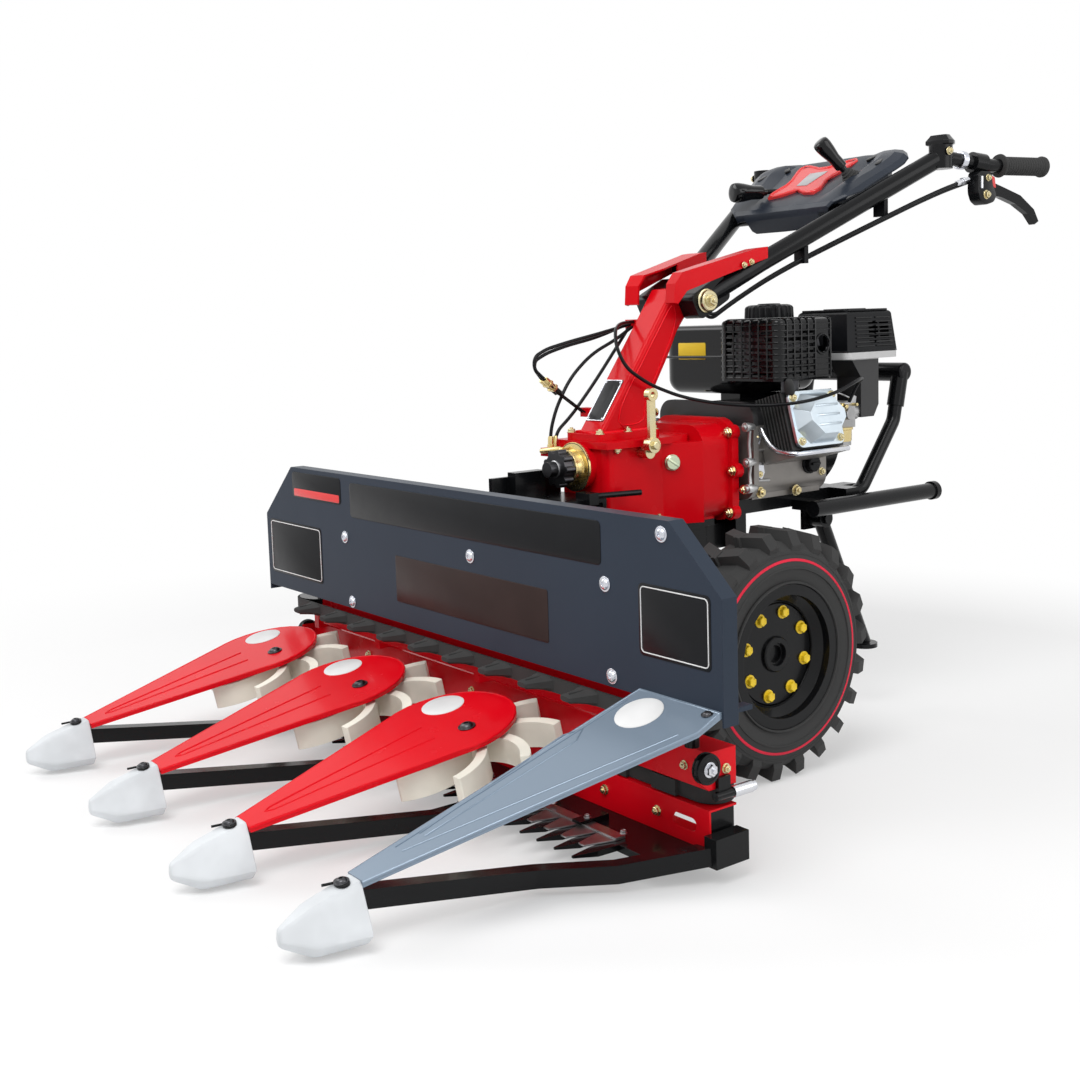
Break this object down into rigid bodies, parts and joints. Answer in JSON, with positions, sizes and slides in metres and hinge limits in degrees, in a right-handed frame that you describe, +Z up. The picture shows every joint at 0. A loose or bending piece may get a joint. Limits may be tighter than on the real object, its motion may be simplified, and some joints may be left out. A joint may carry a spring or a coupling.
{
  "type": "walk-behind reaper",
  "caption": "Two-wheel walk-behind reaper: front cutting header with pointed dividers, star wheels, knife and lugged belts, small petrol engine over the axle and a long adjustable handlebar.",
  "frame": {"origin": "centre of the machine's bounding box at floor level", "axes": "+Z up, +X towards the machine's left, +Y backwards (the machine drives towards -Y)"},
  "size_m": [1.238, 1.7401, 1.084],
  "materials": {
    "red": "gloss enamel",
    "red_plastic": "gloss",
    "black": "satin powder coat",
    "slate": "satin",
    "blue_grey": "gloss",
    "white": "satin",
    "ivory": "satin nylon",
    "zinc": "yellow zinc plate",
    "steel": "ground steel",
    "aluminium": "die cast",
    "cast": "fins, matt",
    "plastic_black": "satin",
    "plastic_grey": "satin",
    "plastic_grey_dark": "satin",
    "rubber": "matt"
  },
  "bodies": {
    "machine": {"lower_case": "black", "gearbox": "red", "pto_clutch": "zinc", "selector_lever": "zinc", "column": "red", "crankcase": "aluminium", "cylinder": "cast", "valve_cover": "aluminium", "muffler_guard": "plastic_black", "muffler": "black", "air_cleaner": "plastic_black", "air_cleaner_base": "plastic_grey", "carburettor": "aluminium", "fuel_tank": "plastic_black", "tank_cap": "plastic_black", "recoil": "black", "engine_frame": "black", "guard_hoop": "black", "tow_tube": "black", "stand_bracket": "black", "header_panel": "slate", "panel_gussets": "slate", "frame_upper": "red", "frame_lower": "red", "upper_belt": "rubber", "lower_belt": "rubber", "belt_rollers": "black", "cutter_bar": "black", "end_boxes": "black", "star_arms": "black", "header_gearcase": "black", "hitch_box": "black", "cables_machine": "plastic_black", "cover_d": "blue_grey", "divider_tubes": "black", "noses": "white", "cover_a": "red", "cover_b": "red", "cover_c": "red"},
    "handlebar": {"cables_handlebar": "plastic_black", "handle_tubes": "black", "arm_bracket_left": "red", "arm_bracket_right": "red", "console": "plastic_grey_dark", "console_trim": "red_plastic", "gear_levers": "plastic_black", "grips": "rubber", "control_lever": "black", "throttle": "plastic_black"},
    "stand": {"stand_leg": "black"},
    "knife": {"knife": "steel"},
    "star_wheel_a": {"star_wheel_a": "ivory"},
    "star_wheel_b": {"star_wheel_b": "ivory"},
    "star_wheel_c": {"star_wheel_c": "ivory"},
    "wheel_left": {"tyre_left": "rubber", "rim_left": "black", "hub_left": "black"},
    "wheel_right": {"tyre_right": "rubber", "rim_right": "black", "hub_right": "black"}
  },
  "joints": [
    {"name": "wheel_left_spin", "type": "hinge", "parent": "machine", "child": "wheel_left", "pos_m": [0.271, 0.109, 0.205], "axis": [1, 0, 0], "continuous": true},
    {"name": "wheel_right_spin", "type": "hinge", "parent": "machine", "child": "wheel_right", "pos_m": [-0.271, 0.109, 0.205], "axis": [1, 0, 0], "continuous": true},
    {"name": "star_wheel_a_spin", "type": "hinge", "parent": "machine", "child": "star_wheel_a", "pos_m": [-0.413, -0.43284, 0.15882], "axis": [0, -0.2372, 0.9715], "continuous": true},
    {"name": "star_wheel_b_spin", "type": "hinge", "parent": "machine", "child": "star_wheel_b", "pos_m": [-0.106, -0.43284, 0.15882], "axis": [0, -0.2372, 0.9715], "continuous": true},
    {"name": "star_wheel_c_spin", "type": "hinge", "parent": "machine", "child": "star_wheel_c", "pos_m": [0.201, -0.43284, 0.15882], "axis": [0, -0.2372, 0.9715], "continuous": true},
    {"name": "knife_stroke", "type": "slide", "parent": "machine", "child": "knife", "axis": [1, 0, 0], "range_m": [-0.025, 0.025]},
    {"name": "handlebar_height", "type": "hinge", "parent": "machine", "child": "handlebar", "pos_m": [0, 0.16776, 0.78002], "axis": [1, 0, 0], "range_deg": [-12, 12]},
    {"name": "stand_fold", "type": "hinge", "parent": "machine", "child": "stand", "pos_m": [0.103, 0.43384, 0.38183], "axis": [1, 0, 0], "range_deg": [-24, 62]}
  ]
}
